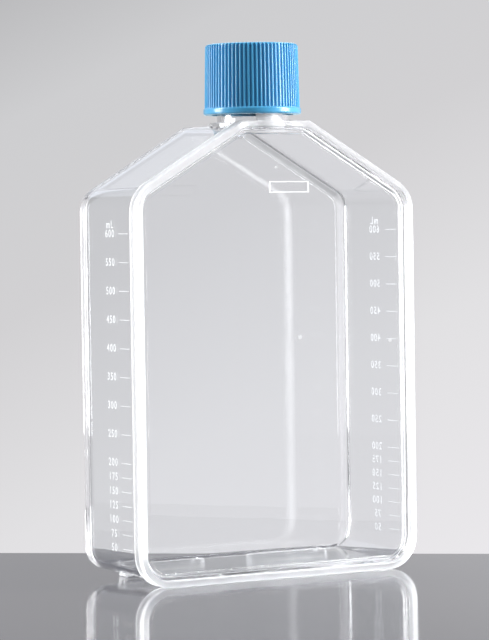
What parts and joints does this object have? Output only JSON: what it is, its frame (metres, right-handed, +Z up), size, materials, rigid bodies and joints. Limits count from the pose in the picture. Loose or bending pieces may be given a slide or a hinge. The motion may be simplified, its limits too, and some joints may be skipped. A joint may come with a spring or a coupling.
{
  "type": "cell culture flask",
  "caption": "Upright clear plastic culture flask: flat welded front plate in a raised rim, sloping shoulders, two low feet under the base, and a ribbed blue vented screw cap.",
  "frame": {"origin": "bottom centre of the overall box, on the surface the flask stands on", "axes": "+Z up along the cap's axis, +Y from the welded front plate towards the growth face, +X to the right when looking along +Y"},
  "size_m": [0.121, 0.0477, 0.201],
  "materials": {
    "clear_polystyrene": "clear moulded polystyrene, polished",
    "clear_polystyrene_plate": "clear moulded polystyrene, polished",
    "blue_polyethylene": "semi-gloss moulded polyethylene",
    "white_membrane": "matte hydrophobic filter membrane",
    "seal_elastomer": "soft off-white sealing elastomer"
  },
  "bodies": {
    "flask": {"flask_body": "clear_polystyrene", "front_plate": "clear_polystyrene_plate"},
    "liner": {"seal_ring": "seal_elastomer"},
    "cap": {"cap_shell": "blue_polyethylene", "vent_membrane": "white_membrane"}
  },
  "joints": [
    {"name": "cap_rise", "type": "slide", "parent": "flask", "child": "liner", "axis": [0, 0, 1], "range_m": [0, 0.0243]},
    {"name": "cap_turn", "type": "hinge", "parent": "liner", "child": "cap", "pos_m": [0, -0.00545, 0.18], "axis": [0, 0, 1], "range_deg": [0, 970]}
  ],
  "couplings": [
    {"joint": "cap_rise", "follows": "cap_turn", "m_per_rad": 0.0014324}
  ]
}
